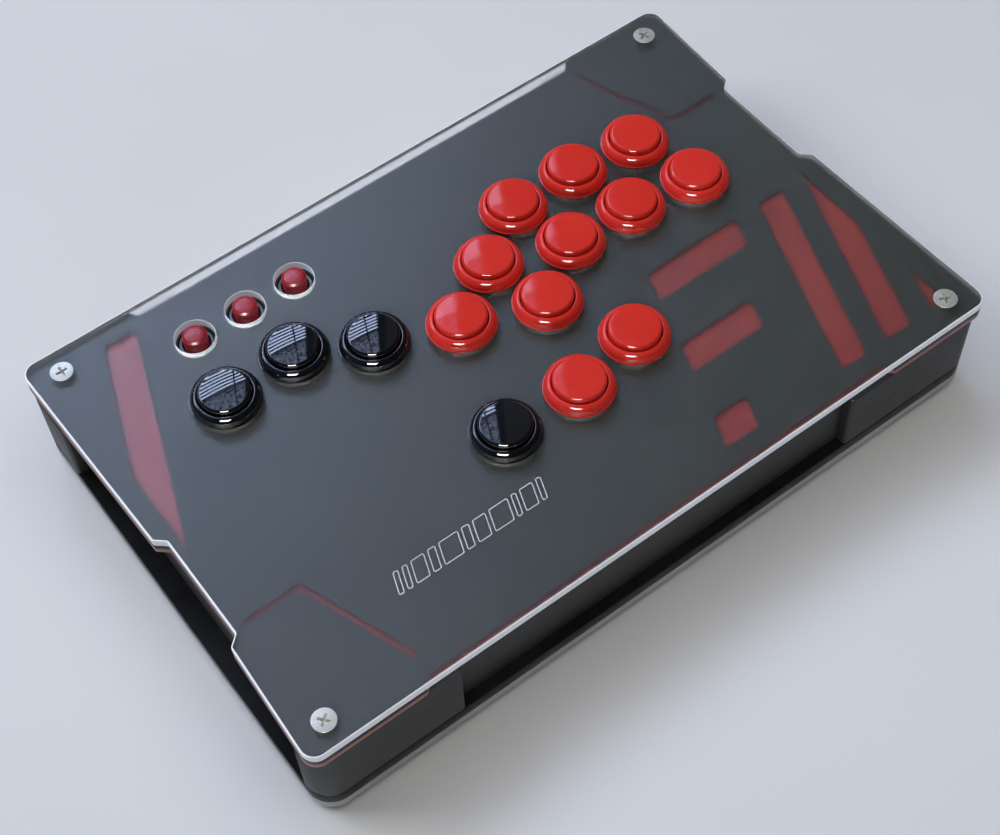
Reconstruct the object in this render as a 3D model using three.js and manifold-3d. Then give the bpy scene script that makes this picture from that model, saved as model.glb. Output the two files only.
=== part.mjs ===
// All-button arcade controller: a stack of acrylic plates over a low frame,
// fifteen snap-in arcade buttons, three option buttons, a control board and a
// cable socket. Millimetres, +Z up, long side along X, player's side at -Y.
import * as THREE from 'three';
import { mergeVertices } from 'three/addons/utils/BufferGeometryUtils.js';
import Module from 'manifold-3d';

const wasm = await Module();
wasm.setup();

// ---------------------------------------------------------------- dimensions
const HALF_LENGTH = 147.5;
const HALF_DEPTH = 95.5;

// Layers from the table up, each as [lower face, upper face]
const FEET = [0, 3];
const BOTTOM_PLATE = [3.05, 7];
const BASE_LAYER = [7.05, 12.5];
const FRAME = [12.55, 40.45];
const RED_PLATE = [40.5, 42.45];
const ART_PLATE = [42.5, 44.4];
const CLEAR_PLATE = [44.5, 48];
const TOP = CLEAR_PLATE[1];

// Plan of the three upper plates
const PLATE_CORNER_R = 5.5;
const GRIP_EDGE_X = 141.4;
const GRIP_SHOULDER_X = 145.3;
const GRIP_Y = [-42.4, 1];
const GRIP_RAMP = 3.4;
const OVERHANG_HALF_LENGTH = 99.5;
const OVERHANG_RAMP = 3;
const ART_OVERHANG = 3.7;
const RED_FRONT_OVERHANG = 2.6;

// Plan of the base and the frame
const BASE_CORNER_R = 10;
const WALL_THICKNESS = 4;
const WALL_FACE_X = 139.5;
const WALL_FACE_Y = 91.5;
const BLOCK_DEPTH = 9.5;
const BLOCK_WIDTH = 13.5;
const BOSS_X = 123;
const BOSS_Y = 75.5;
const JOINT_GAP = 0.3;
// Where a corner block ends along the long side (x) and along the end (y)
const SHORT_BLOCK = { x: 88.5, y: 75.5, flankY: 84 };
const LONG_BLOCK = { x: 82.5, y: 67, flankY: 67 };

// Corner screws
const SCREW_X = 135.3;
const SCREW_Y = 85.6;
const SCREW_HEAD_R = 4.25;
const SCREW_HEAD_HEIGHT = 2.6;
const SCREW_SHANK_R = 2;
const SCREW_END_Z = 3.6;
const SCREW_HOLE_R = 2.35;
const SCREW_PLAY = 0.06;
const CROSS = { length: 4.6, width: 0.9, depth: 1.6 };

// Feet
const FOOT_X = 125;
const FOOT_Y = 74;
const FOOT_R = 7;

// Play buttons, heights measured from the top face
const BUTTON_HOLE_R = 12;
const BARREL_R = 11.6;
const BEZEL = { radius: 13.25, widest: 1.2, foot: 0.6, shoulder: 3.2, slope: 0.9, height: 4.7 };
const BEZEL_LIP = { width: 0.8, drop: 0.4 };
const BORE_R = 10.1;
const BARREL_DEPTH = 20;
const BARREL_FLOOR = 2.5;
const STEM_HOLE_R = 3;
const PLUNGER_R = 9.75;
const PLUNGER_HEIGHT = 7;
const PLUNGER_EDGE = { width: 1, drop: 1.1, crown: 0.15 };
const PLUNGER_SKIRT = 5;
const STEM_R = 2.3;

// Option buttons, heights measured from the top face
const OPTION_HOLE_R = { clear: 7.55, art: 7.05, red: 6.2 };
const OPTION_BARREL = { radius: 5.85, depth: 22 };
const OPTION_COLLAR = { radius: 6.6, top: -3.9, bottom: -5.5 };
const OPTION_BORE = { radius: 5.25, floor: -9.2 };
const OPTION_CAP = { radius: 4.9, height: 1.8, bottom: -7.8 };

// Control board, its bracket and the cable socket behind the back wall
const BOARD = { x: -7, length: 50, y: [51, 85], z: [16.5, 18.1], pegX: 21, pegInset: 4 };
const BRACKET = { length: 48, top: 14, postR: 2.6, pegR: 1.3, pegHoleR: 1.65, pegTop: 18.9 };
const SOCKET = { width: 8.94, height: 3.26, depth: 7.35, wall: 0.45, z: 18.15, face: 87.2 };
const PORT = { width: 13, height: 8, radius: 2.5, z: 19.78 };

// Windows and slots of the art plate
const LEAN = Math.tan(THREE.MathUtils.degToRad(19.8));
const ART_EDGE_X = 137.3;
const ART_TOP_Y = 87.6;
const ART_BOTTOM_Y = -84.8;
const SLOT_WIDTH = 2.4;

// Facets in a full turn
const FINE = 20;
const COARSE = 16;

// Button centres
const MOVE_BUTTONS = {
  left: [-94.7, 37.8],
  down: [-64.8, 39.5],
  right: [-39.3, 25.5],
  up: [-25, -34.4],
};
const ACTION_BUTTONS = [
  [-9.4, 13.1],
  [14.4, 28.7],
  [38.1, 45.1],
  [66.7, 45],
  [94.8, 42],
  [21.1, 1.6],
  [44.9, 18.4],
  [73.2, 17.8],
  [101.5, 14.2],
  [6.9, -35.2],
  [36.3, -29.7],
];
const OPTION_BUTTONS = [
  [-89, 69],
  [-67.4, 69],
  [-45.8, 69],
];
const PLAY_BUTTONS = [...Object.values(MOVE_BUTTONS), ...ACTION_BUTTONS];
const SCREWS = [
  ['front_left', -SCREW_X, -SCREW_Y],
  ['front_right', SCREW_X, -SCREW_Y],
  ['back_left', -SCREW_X, SCREW_Y],
  ['back_right', SCREW_X, SCREW_Y],
];

// ----------------------------------------------------------------- materials
const FINISHES = {
  clear: { color: 0xdfe6ea, roughness: 0.05, metalness: 0, transparent: true, opacity: 0.35 },
  blackAcrylic: { color: 0x0c0d0f, roughness: 0.12, metalness: 0 },
  redAcrylic: { color: 0xb02028, roughness: 0.15, metalness: 0 },
  frame: { color: 0x26272a, roughness: 0.55, metalness: 0 },
  frosted: { color: 0x8f9194, roughness: 0.35, metalness: 0 },
  redPlastic: { color: 0xc8241e, roughness: 0.12, metalness: 0 },
  blackPlastic: { color: 0x0b0b0d, roughness: 0.1, metalness: 0 },
  steel: { color: 0xc9cbcc, roughness: 0.25, metalness: 1 },
  rubber: { color: 0x1a1a1b, roughness: 0.85, metalness: 0 },
  board: { color: 0x14432b, roughness: 0.45, metalness: 0 },
  nylon: { color: 0x202124, roughness: 0.6, metalness: 0 },
};

const controller = new THREE.Group();

function addPart(name, geometry, finish, position = [0, 0, 0]) {
  const mesh = new THREE.Mesh(geometry, new THREE.MeshStandardMaterial(FINISHES[finish]));
  mesh.name = name;
  mesh.position.set(...position);
  controller.add(mesh);
  return mesh;
}

// ---------------------------------------------------------- solid operations
function toManifold(geometry) {
  const bare = geometry.clone();
  bare.deleteAttribute('normal');
  bare.deleteAttribute('uv');
  const welded = mergeVertices(bare, 1e-4);
  return new wasm.Manifold(new wasm.Mesh({
    numProp: 3,
    vertProperties: new Float32Array(welded.attributes.position.array),
    triVerts: new Uint32Array(welded.index.array),
  }));
}

function fromManifold(solid) {
  const mesh = solid.getMesh();
  const geometry = new THREE.BufferGeometry();
  geometry.setAttribute('position', new THREE.BufferAttribute(mesh.vertProperties, 3));
  geometry.setIndex(new THREE.BufferAttribute(mesh.triVerts, 1));
  const flat = geometry.toNonIndexed();
  flat.computeVertexNormals();
  return flat;
}

function union(first, ...others) {
  return fromManifold(others.reduce((sum, item) => sum.add(toManifold(item)), toManifold(first)));
}

function cut(first, ...tools) {
  return fromManifold(tools.reduce((rest, tool) => rest.subtract(toManifold(tool)), toManifold(first)));
}

// ---------------------------------------------------------- outlines, solids
function circlePoints(x, y, radius, facets) {
  return Array.from({ length: facets }, (_, i) => {
    const angle = (2 * Math.PI * i) / facets;
    return new THREE.Vector2(x + radius * Math.cos(angle), y + radius * Math.sin(angle));
  });
}

// Points along the arc that rounds one corner of an outline.
function cornerPoints(before, [x, y, radius], after) {
  const corner = new THREE.Vector2(x, y);
  if (!radius) return [corner];
  const toBefore = new THREE.Vector2(before[0], before[1]).sub(corner).normalize();
  const toAfter = new THREE.Vector2(after[0], after[1]).sub(corner).normalize();
  const half = Math.acos(toBefore.dot(toAfter)) / 2;
  const middle = toBefore.clone().add(toAfter).normalize();
  const centre = corner.clone().addScaledVector(middle, radius / Math.sin(half));
  const start = corner.clone().addScaledVector(toBefore, radius / Math.tan(half)).sub(centre);
  const sweep = (Math.PI - 2 * half) * -Math.sign(toBefore.cross(toAfter));
  const steps = radius > 3 ? 6 : 2;
  return Array.from({ length: steps + 1 }, (_, i) => (
    start.clone().rotateAround(new THREE.Vector2(), (sweep * i) / steps).add(centre)
  ));
}

// Outline through [x, y, corner radius] points.
function outlinePoints(points) {
  return points.flatMap((point, i) => (
    cornerPoints(points.at(i - 1), point, points[(i + 1) % points.length])
  ));
}

function plateShape(points, holes = []) {
  const shape = new THREE.Shape(outlinePoints(points));
  shape.holes = holes.map((hole) => new THREE.Path(hole));
  return shape;
}

function extruded(shape, [low, high]) {
  const settings = { depth: high - low, bevelEnabled: false, curveSegments: 1 };
  return new THREE.ExtrudeGeometry(shape, settings).translate(0, 0, low);
}

// Solid of revolution about Z from [radius, height] points, bottom to top.
function turned(profile, facets = FINE) {
  const points = profile.map(([radius, height]) => new THREE.Vector2(radius, height));
  return new THREE.LatheGeometry(points, facets).rotateX(Math.PI / 2);
}

function block(x, y, z, width, depth, height) {
  return new THREE.BoxGeometry(width, depth, height).translate(x, y, z);
}

function halfTurn(geometry) {
  return geometry.rotateZ(Math.PI);
}

// ---------------------------------------------------------------- plate plan
// One end of the upper plates, upwards from its front corner, for the left
// end. The right end is the same after half a turn.
function gripEnd() {
  const [from, to] = GRIP_Y;
  return [
    [-GRIP_SHOULDER_X, from - GRIP_RAMP, 1.2],
    [-GRIP_EDGE_X, from, 1.2],
    [-GRIP_EDGE_X, to, 1.2],
    [-GRIP_SHOULDER_X, to + GRIP_RAMP, 1.2],
  ];
}

// The middle of a long side, set back from the corners.
function setBack(depth) {
  const reach = OVERHANG_HALF_LENGTH;
  return [
    [-reach - OVERHANG_RAMP, -HALF_DEPTH, 0],
    [-reach, -HALF_DEPTH + depth, 0.8],
    [reach, -HALF_DEPTH + depth, 0.8],
    [reach + OVERHANG_RAMP, -HALF_DEPTH, 0],
  ];
}

function upperPlateOutline(frontSetBack, backSetBack) {
  const turnedBack = ([x, y, radius]) => [-x, -y, radius];
  const front = frontSetBack ? setBack(frontSetBack) : [];
  const back = backSetBack ? setBack(backSetBack).map(turnedBack) : [];
  return [
    [-HALF_LENGTH, -HALF_DEPTH, PLATE_CORNER_R],
    ...front,
    [HALF_LENGTH, -HALF_DEPTH, PLATE_CORNER_R],
    ...gripEnd().reverse().map(turnedBack),
    [HALF_LENGTH, HALF_DEPTH, PLATE_CORNER_R],
    ...back,
    [-HALF_LENGTH, HALF_DEPTH, PLATE_CORNER_R],
    ...gripEnd().reverse(),
  ];
}

function buttonHoles(optionRadius, facets) {
  const play = PLAY_BUTTONS.map(([x, y]) => circlePoints(x, y, BUTTON_HOLE_R, facets));
  const option = OPTION_BUTTONS.map(([x, y]) => circlePoints(x, y, optionRadius, facets));
  return [...play, ...option];
}

function screwHoles(facets) {
  return SCREWS.map(([, x, y]) => circlePoints(x, y, SCREW_HOLE_R, facets));
}

// ------------------------------------------------------------- upper plates
function addClearPlate() {
  const holes = [...buttonHoles(OPTION_HOLE_R.clear, FINE), ...screwHoles(FINE)];
  const plate = extruded(plateShape(upperPlateOutline(), holes), CLEAR_PLATE);
  const sink = turned([
    [0, -SCREW_HEAD_HEIGHT - SCREW_PLAY],
    [SCREW_SHANK_R + SCREW_PLAY, -SCREW_HEAD_HEIGHT - SCREW_PLAY],
    [SCREW_HEAD_R + SCREW_PLAY, -0.15],
    [SCREW_HEAD_R + SCREW_PLAY, 1],
    [0, 1],
  ], COARSE);
  const sinks = SCREWS.map(([, x, y]) => sink.clone().translate(x, y, TOP));
  addPart('clear_top_plate', cut(plate, ...sinks), 'clear');
}

// A window with level ends and leaning sides, from its top corners down.
function leaningWindow(left, right, top, bottom) {
  const shift = (top - bottom) * LEAN;
  return [
    [left, top, 0.7],
    [left - shift, bottom, 0.7],
    [right - shift, bottom, 0.7],
    [right, top, 0.7],
  ];
}

// A leaning bar that runs off the straight edge of the art at its right.
function edgeBlade(tipY, edgeEndY, bottomLeft, bottomRight) {
  return [
    [ART_EDGE_X, tipY, 0],
    [bottomLeft, ART_BOTTOM_Y, 0.7],
    [bottomRight, ART_BOTTOM_Y, 0.7],
    [ART_EDGE_X, edgeEndY, 0.7],
  ];
}

// A narrow slot that runs level from the end and then turns along the lean.
function cornerSlot(endX, bendX, levelY, tipY) {
  const lean = (levelY - tipY) * LEAN;
  const across = SLOT_WIDTH / Math.cos(Math.atan(LEAN));
  return [
    [endX, levelY, 0.5],
    [endX, levelY - SLOT_WIDTH, 0.5],
    [bendX - across + SLOT_WIDTH * LEAN, levelY - SLOT_WIDTH, 0.5],
    [bendX - across + lean, tipY, 0.5],
    [bendX + lean, tipY, 0.5],
    [bendX, levelY, 0.5],
  ];
}

function artWindows() {
  const leftBlade = [
    [-117.4, ART_TOP_Y, 0.7],
    [-ART_EDGE_X, 33, 0.7],
    [-ART_EDGE_X, -4.5, 0],
    [-104.1, ART_TOP_Y, 0.7],
  ];
  const rightSlot = cornerSlot(-137.4, -115.6, -43.2, -88).map(([x, y, radius]) => [-x, -y, radius]);
  return [
    leftBlade,
    leaningWindow(59.5, 102.4, -8.5, -21.2),
    leaningWindow(48.6, 81.8, -40.8, -53.2),
    leaningWindow(37.3, 52.3, -72, ART_BOTTOM_Y),
    leaningWindow(113.8, 125.9, -8.5, ART_BOTTOM_Y),
    edgeBlade(-6.5, -38, 107.6, 119.8),
    cornerSlot(-136, -113.7, -38.1, -84.8),
    rightSlot,
  ];
}

// The small window in the front right corner, which runs into a screw hole.
function screwWindow() {
  const [low, high] = ART_PLATE;
  const outline = [
    [ART_EDGE_X, -64, 0.5],
    [130, ART_BOTTOM_Y, 0.7],
    [ART_EDGE_X, ART_BOTTOM_Y, 0.7],
  ];
  return extruded(plateShape(outline), [low - 1, high + 1]);
}

function addArtPlate() {
  const outline = upperPlateOutline(ART_OVERHANG, ART_OVERHANG);
  const windows = artWindows().map(outlinePoints);
  const holes = [...buttonHoles(OPTION_HOLE_R.art, COARSE), ...screwHoles(COARSE), ...windows];
  const plate = cut(extruded(plateShape(outline, holes), ART_PLATE), screwWindow());
  addPart('art_plate', plate, 'blackAcrylic');
}

function addRedPlate() {
  const outline = upperPlateOutline(RED_FRONT_OVERHANG, ART_OVERHANG);
  const holes = [...buttonHoles(OPTION_HOLE_R.red, COARSE), ...screwHoles(COARSE)];
  addPart('red_plate', extruded(plateShape(outline, holes), RED_PLATE), 'redAcrylic');
}

// ---------------------------------------------------------------- lower case
// Corner block for the front left, around the screw.
function cornerBlock({ x: endX, y: endY, flankY }) {
  const innerX = -HALF_LENGTH + BLOCK_WIDTH;
  const innerY = -HALF_DEPTH + BLOCK_DEPTH;
  const leg = endY < BOSS_Y ? [[innerX, -BOSS_Y, 1.5], [innerX, -endY, 0.8]] : [];
  const step = flankY > endY ? [[-WALL_FACE_X, -endY, 0], [-WALL_FACE_X, -flankY, 0]] : [];
  const outline = [
    [-HALF_LENGTH, -HALF_DEPTH, BASE_CORNER_R],
    [-endX, -HALF_DEPTH, 1.5],
    [-endX, innerY, 0.8],
    [-BOSS_X, innerY, 1.5],
    [-BOSS_X, -BOSS_Y, 1.5],
    ...leg,
    ...step,
    [-HALF_LENGTH, -flankY, 1.5],
  ];
  return extruded(plateShape(outline, [circlePoints(-SCREW_X, -SCREW_Y, SCREW_HOLE_R, COARSE)]), FRAME);
}

function mirroredX(geometry) {
  const mirror = geometry.clone().scale(-1, 1, 1);
  const position = mirror.attributes.position;
  const corner = new THREE.Vector3();
  const swap = new THREE.Vector3();
  for (let i = 0; i < position.count; i += 3) {
    corner.fromBufferAttribute(position, i);
    swap.fromBufferAttribute(position, i + 1);
    position.setXYZ(i, swap.x, swap.y, swap.z);
    position.setXYZ(i + 1, corner.x, corner.y, corner.z);
  }
  mirror.computeVertexNormals();
  return mirror;
}

function addCornerBlocks() {
  addPart('corner_block_front_left', cornerBlock(SHORT_BLOCK), 'frame');
  addPart('corner_block_back_right', halfTurn(cornerBlock(SHORT_BLOCK)), 'frame');
  addPart('corner_block_front_right', mirroredX(cornerBlock(LONG_BLOCK)), 'frame');
  addPart('corner_block_back_left', halfTurn(mirroredX(cornerBlock(LONG_BLOCK))), 'frame');
}

function sideWall(fromX, toX, fromY, toY) {
  const [low, high] = FRAME;
  const middle = [(fromX + toX) / 2, (fromY + toY) / 2, (low + high) / 2];
  return block(...middle, toX - fromX, toY - fromY, high - low);
}

// Rounded slot for the plug, cut through the back wall along Y.
function portTool() {
  const halfWidth = PORT.width / 2;
  const halfHeight = PORT.height / 2;
  const outline = plateShape([
    [-halfWidth, -halfHeight, PORT.radius],
    [halfWidth, -halfHeight, PORT.radius],
    [halfWidth, halfHeight, PORT.radius],
    [-halfWidth, halfHeight, PORT.radius],
  ]);
  const reach = 2 * WALL_THICKNESS;
  return extruded(outline, [-reach, reach]).rotateX(Math.PI / 2).translate(BOARD.x, WALL_FACE_Y, PORT.z);
}

function addWalls() {
  const longFrom = -SHORT_BLOCK.x + JOINT_GAP;
  const longTo = LONG_BLOCK.x - JOINT_GAP;
  const endFrom = -SHORT_BLOCK.y + JOINT_GAP;
  const endTo = LONG_BLOCK.y - JOINT_GAP;
  const front = sideWall(longFrom, longTo, -WALL_FACE_Y, -WALL_FACE_Y + WALL_THICKNESS);
  const left = sideWall(-WALL_FACE_X, -WALL_FACE_X + WALL_THICKNESS, endFrom, endTo);
  addPart('wall_front', front, 'frame');
  addPart('wall_back', cut(halfTurn(front.clone()), portTool()), 'frame');
  addPart('wall_left', left, 'frame');
  addPart('wall_right', halfTurn(left.clone()), 'frame');
}

function addBase() {
  const outline = [
    [-HALF_LENGTH, -HALF_DEPTH, BASE_CORNER_R],
    [HALF_LENGTH, -HALF_DEPTH, BASE_CORNER_R],
    [HALF_LENGTH, HALF_DEPTH, BASE_CORNER_R],
    [-HALF_LENGTH, HALF_DEPTH, BASE_CORNER_R],
  ];
  const shape = plateShape(outline, screwHoles(COARSE));
  addPart('base_layer', extruded(shape, BASE_LAYER), 'blackAcrylic');
  addPart('bottom_plate', extruded(shape, BOTTOM_PLATE), 'frosted');
}

function addFeet() {
  const [low, high] = FEET;
  const foot = turned([[0, low], [FOOT_R - 0.6, low], [FOOT_R, low + 0.6], [FOOT_R, high], [0, high]], COARSE);
  SCREWS.forEach(([corner, x, y]) => {
    addPart(`foot_${corner}`, foot.clone(), 'rubber', [Math.sign(x) * FOOT_X, Math.sign(y) * FOOT_Y, 0]);
  });
}

function addScrews() {
  const screw = turned([
    [0, SCREW_END_Z - TOP],
    [SCREW_SHANK_R, SCREW_END_Z - TOP],
    [SCREW_SHANK_R, -SCREW_HEAD_HEIGHT],
    [SCREW_HEAD_R, -0.15],
    [SCREW_HEAD_R, 0],
    [0, 0],
  ], COARSE);
  const { length, width, depth } = CROSS;
  const bar = block(0, 0, 0, length, width, 2 * depth);
  const crossed = cut(screw, bar, bar.clone().rotateZ(Math.PI / 2));
  SCREWS.forEach(([corner, x, y]) => {
    addPart(`corner_screw_${corner}`, crossed.clone(), 'steel', [x, y, TOP]);
  });
}

// ------------------------------------------------------------------- buttons
function housing() {
  const underFlange = 0.05;
  const floorTop = -BARREL_DEPTH + BARREL_FLOOR;
  return turned([
    [STEM_HOLE_R, -BARREL_DEPTH],
    [BARREL_R, -BARREL_DEPTH],
    [BARREL_R, underFlange],
    [BEZEL.radius - BEZEL.foot, underFlange],
    [BEZEL.radius, BEZEL.widest],
    [BEZEL.radius - BEZEL.slope, BEZEL.shoulder],
    [BORE_R + BEZEL_LIP.width, BEZEL.height],
    [BORE_R, BEZEL.height - BEZEL_LIP.drop],
    [BORE_R, floorTop],
    [STEM_HOLE_R, floorTop],
    [STEM_HOLE_R, -BARREL_DEPTH],
  ]);
}

function plunger() {
  const stemEnd = -BARREL_DEPTH + BARREL_FLOOR - 0.1;
  return turned([
    [0, stemEnd],
    [STEM_R, stemEnd],
    [STEM_R, -PLUNGER_SKIRT],
    [PLUNGER_R, -PLUNGER_SKIRT],
    [PLUNGER_R, PLUNGER_HEIGHT - PLUNGER_EDGE.drop],
    [PLUNGER_R - PLUNGER_EDGE.width, PLUNGER_HEIGHT - PLUNGER_EDGE.crown],
    [0, PLUNGER_HEIGHT],
  ]);
}

function addPlayButton(label, [x, y], finish) {
  addPart(`housing_${label}`, housing(), finish, [x, y, TOP]);
  addPart(`plunger_${label}`, plunger(), finish, [x, y, TOP]);
}

function addPlayButtons() {
  Object.entries(MOVE_BUTTONS).forEach(([way, place]) => {
    addPlayButton(`move_${way}`, place, 'blackPlastic');
  });
  ACTION_BUTTONS.forEach((place, i) => addPlayButton(`action_${i + 1}`, place, 'redPlastic'));
}

function optionSwitch() {
  const { radius, depth } = OPTION_BARREL;
  return turned([
    [0, -depth],
    [radius, -depth],
    [radius, OPTION_COLLAR.bottom],
    [OPTION_COLLAR.radius, OPTION_COLLAR.bottom],
    [OPTION_COLLAR.radius, OPTION_COLLAR.top - 0.4],
    [OPTION_COLLAR.radius - 0.4, OPTION_COLLAR.top],
    [OPTION_BORE.radius, OPTION_COLLAR.top],
    [OPTION_BORE.radius, OPTION_BORE.floor],
    [0, OPTION_BORE.floor],
  ], COARSE);
}

function optionCap() {
  const { radius, height, bottom } = OPTION_CAP;
  return turned([
    [0, bottom],
    [radius, bottom],
    [radius, height - 1],
    [radius - 0.9, height - 0.2],
    [0, height],
  ], COARSE);
}

function addOptionButtons() {
  OPTION_BUTTONS.forEach(([x, y], i) => {
    addPart(`option_switch_${i + 1}`, optionSwitch(), 'steel', [x, y, TOP]);
    addPart(`option_cap_${i + 1}`, optionCap(), 'redPlastic', [x, y, TOP]);
  });
}

// --------------------------------------------------------------- electronics
function boardPegs() {
  const [from, to] = BOARD.y;
  const xs = [BOARD.x - BOARD.pegX, BOARD.x + BOARD.pegX];
  const ys = [from + BOARD.pegInset, to - BOARD.pegInset];
  return xs.flatMap((x) => ys.map((y) => [x, y]));
}

function rectangle(x, [fromY, toY], length, radius) {
  return [
    [x - length / 2, fromY, radius],
    [x + length / 2, fromY, radius],
    [x + length / 2, toY, radius],
    [x - length / 2, toY, radius],
  ];
}

function addBoard() {
  const holes = boardPegs().map(([x, y]) => circlePoints(x, y, BRACKET.pegHoleR, COARSE));
  const shape = plateShape(rectangle(BOARD.x, BOARD.y, BOARD.length, 1.5), holes);
  addPart('control_board', extruded(shape, BOARD.z), 'board');
}

function addBracket() {
  const sheetTop = BRACKET.top;
  const floor = FRAME[0];
  const sheet = extruded(plateShape(rectangle(BOARD.x, [52, 84], BRACKET.length, 2)), [floor, sheetTop]);
  const shoulder = BOARD.z[0] - 0.05;
  const post = turned([
    [0, floor],
    [BRACKET.postR, floor],
    [BRACKET.postR, shoulder],
    [BRACKET.pegR, shoulder],
    [BRACKET.pegR, BRACKET.pegTop],
    [0, BRACKET.pegTop],
  ], COARSE);
  const posts = boardPegs().map(([x, y]) => post.clone().translate(x, y, 0));
  addPart('board_bracket', union(sheet, ...posts), 'nylon');
}

function roundedSlot(width, height, radius) {
  return [
    [-width / 2, -height / 2, radius],
    [width / 2, -height / 2, radius],
    [width / 2, height / 2, radius],
    [-width / 2, height / 2, radius],
  ];
}

// Cable socket: a drawn steel shell with its contact tongue, mouth at +Y.
function addSocket() {
  const { width, height, depth, wall, z, face } = SOCKET;
  const shell = extruded(plateShape(roundedSlot(width, height, 1.3)), [0, depth]);
  const inside = roundedSlot(width - 2 * wall, height - 2 * wall, 1);
  const hollow = extruded(plateShape(inside), [-1, depth - 1]);
  const tongue = block(0, 0, depth / 2 + 0.6, 6.6, 0.7, depth - 1.2);
  const socket = union(cut(shell, hollow), tongue);
  socket.rotateX(Math.PI / 2).translate(BOARD.x, face, z + height / 2);
  addPart('cable_socket', socket, 'steel');
}

addClearPlate();
addArtPlate();
addRedPlate();
addCornerBlocks();
addWalls();
addBase();
addFeet();
addScrews();
addPlayButtons();
addOptionButtons();
addBoard();
addBracket();
addSocket();

export default controller;
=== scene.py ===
import math

import bpy
import bmesh
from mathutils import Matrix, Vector
from mathutils.geometry import tessellate_polygon


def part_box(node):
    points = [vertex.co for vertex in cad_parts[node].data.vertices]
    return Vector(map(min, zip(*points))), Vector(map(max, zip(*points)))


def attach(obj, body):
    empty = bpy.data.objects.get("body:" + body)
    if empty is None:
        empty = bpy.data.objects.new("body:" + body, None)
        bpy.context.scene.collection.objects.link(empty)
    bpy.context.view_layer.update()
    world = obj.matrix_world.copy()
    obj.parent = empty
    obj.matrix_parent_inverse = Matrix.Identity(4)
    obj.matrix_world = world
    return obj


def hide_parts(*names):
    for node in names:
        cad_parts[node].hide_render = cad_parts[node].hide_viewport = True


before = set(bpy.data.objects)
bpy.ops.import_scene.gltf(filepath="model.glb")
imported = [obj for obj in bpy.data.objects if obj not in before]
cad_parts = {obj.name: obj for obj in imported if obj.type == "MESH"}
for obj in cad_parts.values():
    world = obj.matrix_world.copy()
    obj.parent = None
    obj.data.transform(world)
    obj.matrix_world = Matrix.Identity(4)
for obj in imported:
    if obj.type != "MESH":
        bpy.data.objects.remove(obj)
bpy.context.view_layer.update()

MM = 0.001

# ------------------------------------------------------------ measures, in mm
HALF_LENGTH, HALF_DEPTH = 147.5, 95.5
PLATE_CORNER, BASE_CORNER = 5.5, 10.0
GRIP_EDGE_X, GRIP_SHOULDER_X = 141.4, 145.3
GRIP_FROM_Y, GRIP_TO_Y, GRIP_RAMP = -42.4, 1.0, 3.4
OVERHANG_HALF, OVERHANG_RAMP = 99.5, 3.0
ART_OVERHANG, RED_FRONT_OVERHANG = 3.7, 2.6
WALL_FACE_X = 139.5
BLOCK_DEPTH, BLOCK_WIDTH = 9.5, 13.5
BOSS_X, BOSS_Y = 123.0, 75.5
SHORT_BLOCK = (88.5, 75.5, 84.0)
LONG_BLOCK = (82.5, 67.0, 67.0)
SCREW_HEAD, SCREW_SHANK, SCREW_HOLE = 4.25, 2.0, 2.35
SINK_DEPTH = 2.66
BUTTON_HOLE, BARREL, BORE, STEM_HOLE, BARREL_DEPTH, BARREL_FLOOR = 12.0, 11.6, 10.1, 3.0, 20.0, 17.5
BEZEL, BEZEL_WIDEST, BEZEL_HEIGHT = 13.25, 1.2, 4.7
PLUNGER, PLUNGER_HEIGHT, PLUNGER_SKIRT, STEM = 9.75, 7.0, 5.0, 2.3
OPTION_HOLE_CLEAR, OPTION_HOLE_ART, OPTION_HOLE_RED = 7.55, 6.85, 6.2
LEAN = math.tan(math.radians(19.8))
ART_EDGE_X, ART_TOP_Y, ART_BOTTOM_Y = 137.3, 87.6, -84.8
SLOT_WIDTH = 2.4
PORT_HALF_WIDTH, PORT_HALF_HEIGHT, PORT_CORNER = 6.5, 4.0, 2.5
HOUSING_SEGMENTS, SCREW_SEGMENTS = 96, 96
BAR_WIDTHS = (2.2, 2.2, 5.5, 3.2, 8, 3.2, 5.5, 8, 2.2, 5.5, 2.2)
BAR_TOP, BAR_BOTTOM, BAR_GAP, BAR_LINE, BARS_LEFT = -55.5, -64, 1.4, 0.3, -91.0
CONTACTS, CONTACT_PITCH, CONTACT_WIDTH = 12, 0.5, 0.3


def span(node):
    """Lowest and highest z of a CAD node, in mm."""
    low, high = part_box(node)
    return low[2] / MM, high[2] / MM


def centre(node):
    """Plan centre of a CAD node, in mm."""
    low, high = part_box(node)
    return (low[0] + high[0]) / 2 / MM, (low[1] + high[1]) / 2 / MM


NODES = sorted(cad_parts)
HOUSINGS = [n for n in NODES if n.startswith("housing_")]
OPTIONS = [n for n in NODES if n.startswith("option_switch_")]
SCREWS = [n for n in NODES if n.startswith("corner_screw_")]
FEET = [n for n in NODES if n.startswith("foot_")]
TOP = span("clear_top_plate")[1]


# ------------------------------------------------------------------ materials
def new_material(name):
    material = bpy.data.materials.new(name)
    material.use_nodes = True
    tree = material.node_tree
    return material, tree, tree.nodes["Principled BSDF"]


def add(tree, kind, **values):
    """A node with the named inputs or properties set."""
    node = tree.nodes.new(kind)
    for key, value in values.items():
        socket = key.replace("_", " ")
        if socket in node.inputs:
            node.inputs[socket].default_value = value
        else:
            setattr(node, key, value)
    return node


def noise(tree, scale, detail=3.0, stretch=(1, 1, 1)):
    """Noise over the object, with scale in features per metre."""
    place = add(tree, "ShaderNodeTexCoord")
    mapping = add(tree, "ShaderNodeMapping")
    mapping.inputs["Scale"].default_value = stretch
    tree.links.new(place.outputs["Object"], mapping.inputs["Vector"])
    node = add(tree, "ShaderNodeTexNoise", Scale=scale, Detail=detail)
    tree.links.new(mapping.outputs["Vector"], node.inputs["Vector"])
    return node.outputs["Fac"]


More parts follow.
